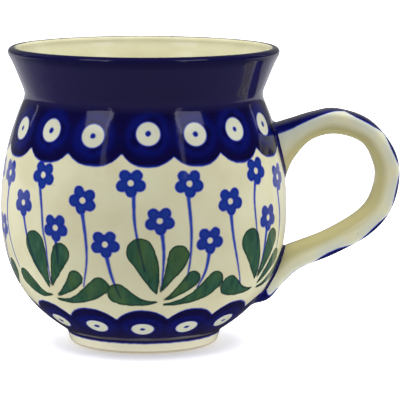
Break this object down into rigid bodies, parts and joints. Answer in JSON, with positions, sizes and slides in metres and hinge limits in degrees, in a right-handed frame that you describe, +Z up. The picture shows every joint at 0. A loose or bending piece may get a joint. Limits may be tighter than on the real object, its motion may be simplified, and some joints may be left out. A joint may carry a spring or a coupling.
{
  "type": "stoneware mug",
  "caption": "Round-bellied glazed stoneware mug with a pinched neck, flared collar, foot ring and a strap handle luted to its side.",
  "frame": {"origin": "middle of the mug's length and width, on the surface that it stands on; the cup's own axis is 17.7 mm to the -X side", "axes": "+X from the cup to the handle, +Y across the handle's plane, +Z up out of the cup's mouth"},
  "size_m": [0.1252, 0.0898, 0.093],
  "materials": {
    "cup_glaze": "clear gloss glaze over cobalt and green underglaze painting on cream stoneware",
    "handle_glaze": "clear gloss glaze over a cobalt scalloped edge on cream stoneware",
    "seam_glaze": "clear gloss glaze over a cobalt brush line"
  },
  "bodies": {
    "root": {"cup_body": "cup_glaze", "handle": "handle_glaze", "upper_slip_joint": "seam_glaze", "lower_slip_joint": "seam_glaze"}
  },
  "joints": []
}
